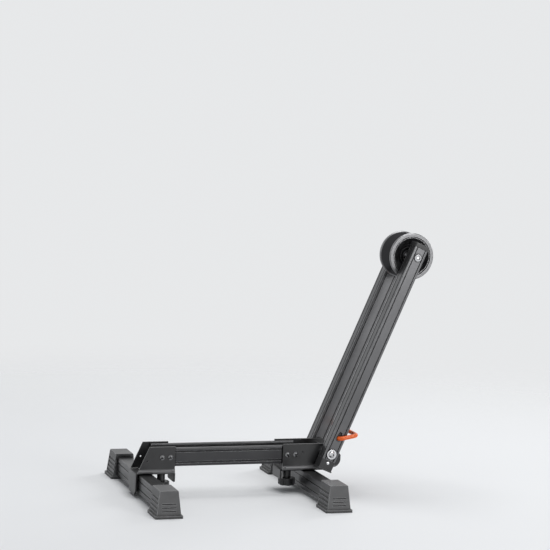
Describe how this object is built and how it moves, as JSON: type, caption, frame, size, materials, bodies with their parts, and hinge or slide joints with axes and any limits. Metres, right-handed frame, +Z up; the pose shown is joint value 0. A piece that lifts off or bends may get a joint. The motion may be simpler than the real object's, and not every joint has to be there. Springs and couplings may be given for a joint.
{
  "type": "bicycle parking stand",
  "caption": "Floor stand that holds a bicycle upright by its wheel: rails and bent-sheet brackets on footed cross bars, and leaning arms that carry a grooved roller and fold flat.",
  "frame": {"origin": "on the floor, in the middle plane between the two sides, halfway along the stand's whole length", "axes": "+X along the wheel, from the entry side towards the leaning arms; +Y across the stand to its far side; +Z up"},
  "size_m": [0.5438, 0.37, 0.4679],
  "materials": {
    "extrusion": "satin black anodised, grooved",
    "bracket_sheet": "black powder coat",
    "steel": "zinc plated",
    "foot_rubber": "matt black rubber",
    "black_plastic": "fine-grained black",
    "roller_metal": "turned, satin black anodised",
    "handle_paint": "glossy orange"
  },
  "bodies": {
    "base": {"cross_bar_front": "extrusion", "cross_bar_rear": "extrusion", "rail_near": "extrusion", "rail_far": "extrusion", "entry_bracket": "bracket_sheet", "pivot_bracket": "bracket_sheet", "rail_screws": "steel", "cross_bar_bolts": "steel", "cross_bar_nuts": "steel", "foot_front_near": "foot_rubber", "foot_front_far": "foot_rubber", "foot_rear_near": "foot_rubber", "foot_rear_far": "foot_rubber", "tyre_pad_front": "foot_rubber", "tyre_pad_rear": "foot_rubber", "pad_pins": "steel", "knob_washers": "steel", "pivot_stub_near": "steel", "pivot_stub_far": "steel", "pivot_spacer": "steel"},
    "knob_front": {"pad_knob_front": "black_plastic", "knob_stud_front": "steel"},
    "knob_rear": {"pad_knob_rear": "black_plastic", "knob_stud_rear": "steel"},
    "arm": {"arm_near": "extrusion", "arm_far": "extrusion", "arm_cap_near": "black_plastic", "arm_cap_far": "black_plastic", "arm_end_near": "black_plastic", "arm_end_far": "black_plastic", "stop_pin": "steel", "pivot_bolt": "steel", "pivot_washers": "steel", "pivot_nut": "steel", "axle_bolt": "steel", "axle_nut": "steel", "axle_sleeves": "steel", "spring_stop_near": "black_plastic", "spring_stop_far": "black_plastic", "latch_spring_near": "steel", "latch_spring_far": "steel"},
    "roller": {"roller_flange_near": "roller_metal", "roller_flange_far": "roller_metal", "roller_hub": "roller_metal", "roller_bearings": "steel"},
    "release": {"release_handle": "handle_paint", "latch_near": "black_plastic", "latch_far": "black_plastic"}
  },
  "joints": [
    {"name": "arm_fold", "type": "hinge", "parent": "base", "child": "arm", "pos_m": [0.08264, 0, 0.074], "axis": [0, 1, 0], "range_deg": [-111.4, 0]},
    {"name": "roller_spin", "type": "hinge", "parent": "arm", "child": "roller", "pos_m": [0.22986, 0, 0.42595], "axis": [0, 1, 0], "continuous": true},
    {"name": "release_slide", "type": "slide", "parent": "arm", "child": "release", "axis": [0.3859, 0, 0.9225], "range_m": [0, 0.008], "stiffness_N_per_m": 1200, "springref_m": -0.004, "deforming": ["latch_spring_near", "latch_spring_far"]},
    {"name": "knob_front_turn", "type": "hinge", "parent": "base", "child": "knob_front", "pos_m": [-0.21436, 0, 0.03], "axis": [0, 0, -1], "range_deg": [0, 720]},
    {"name": "knob_rear_turn", "type": "hinge", "parent": "base", "child": "knob_rear", "pos_m": [0.01864, 0, 0.03], "axis": [0, 0, -1], "range_deg": [0, 720]}
  ]
}
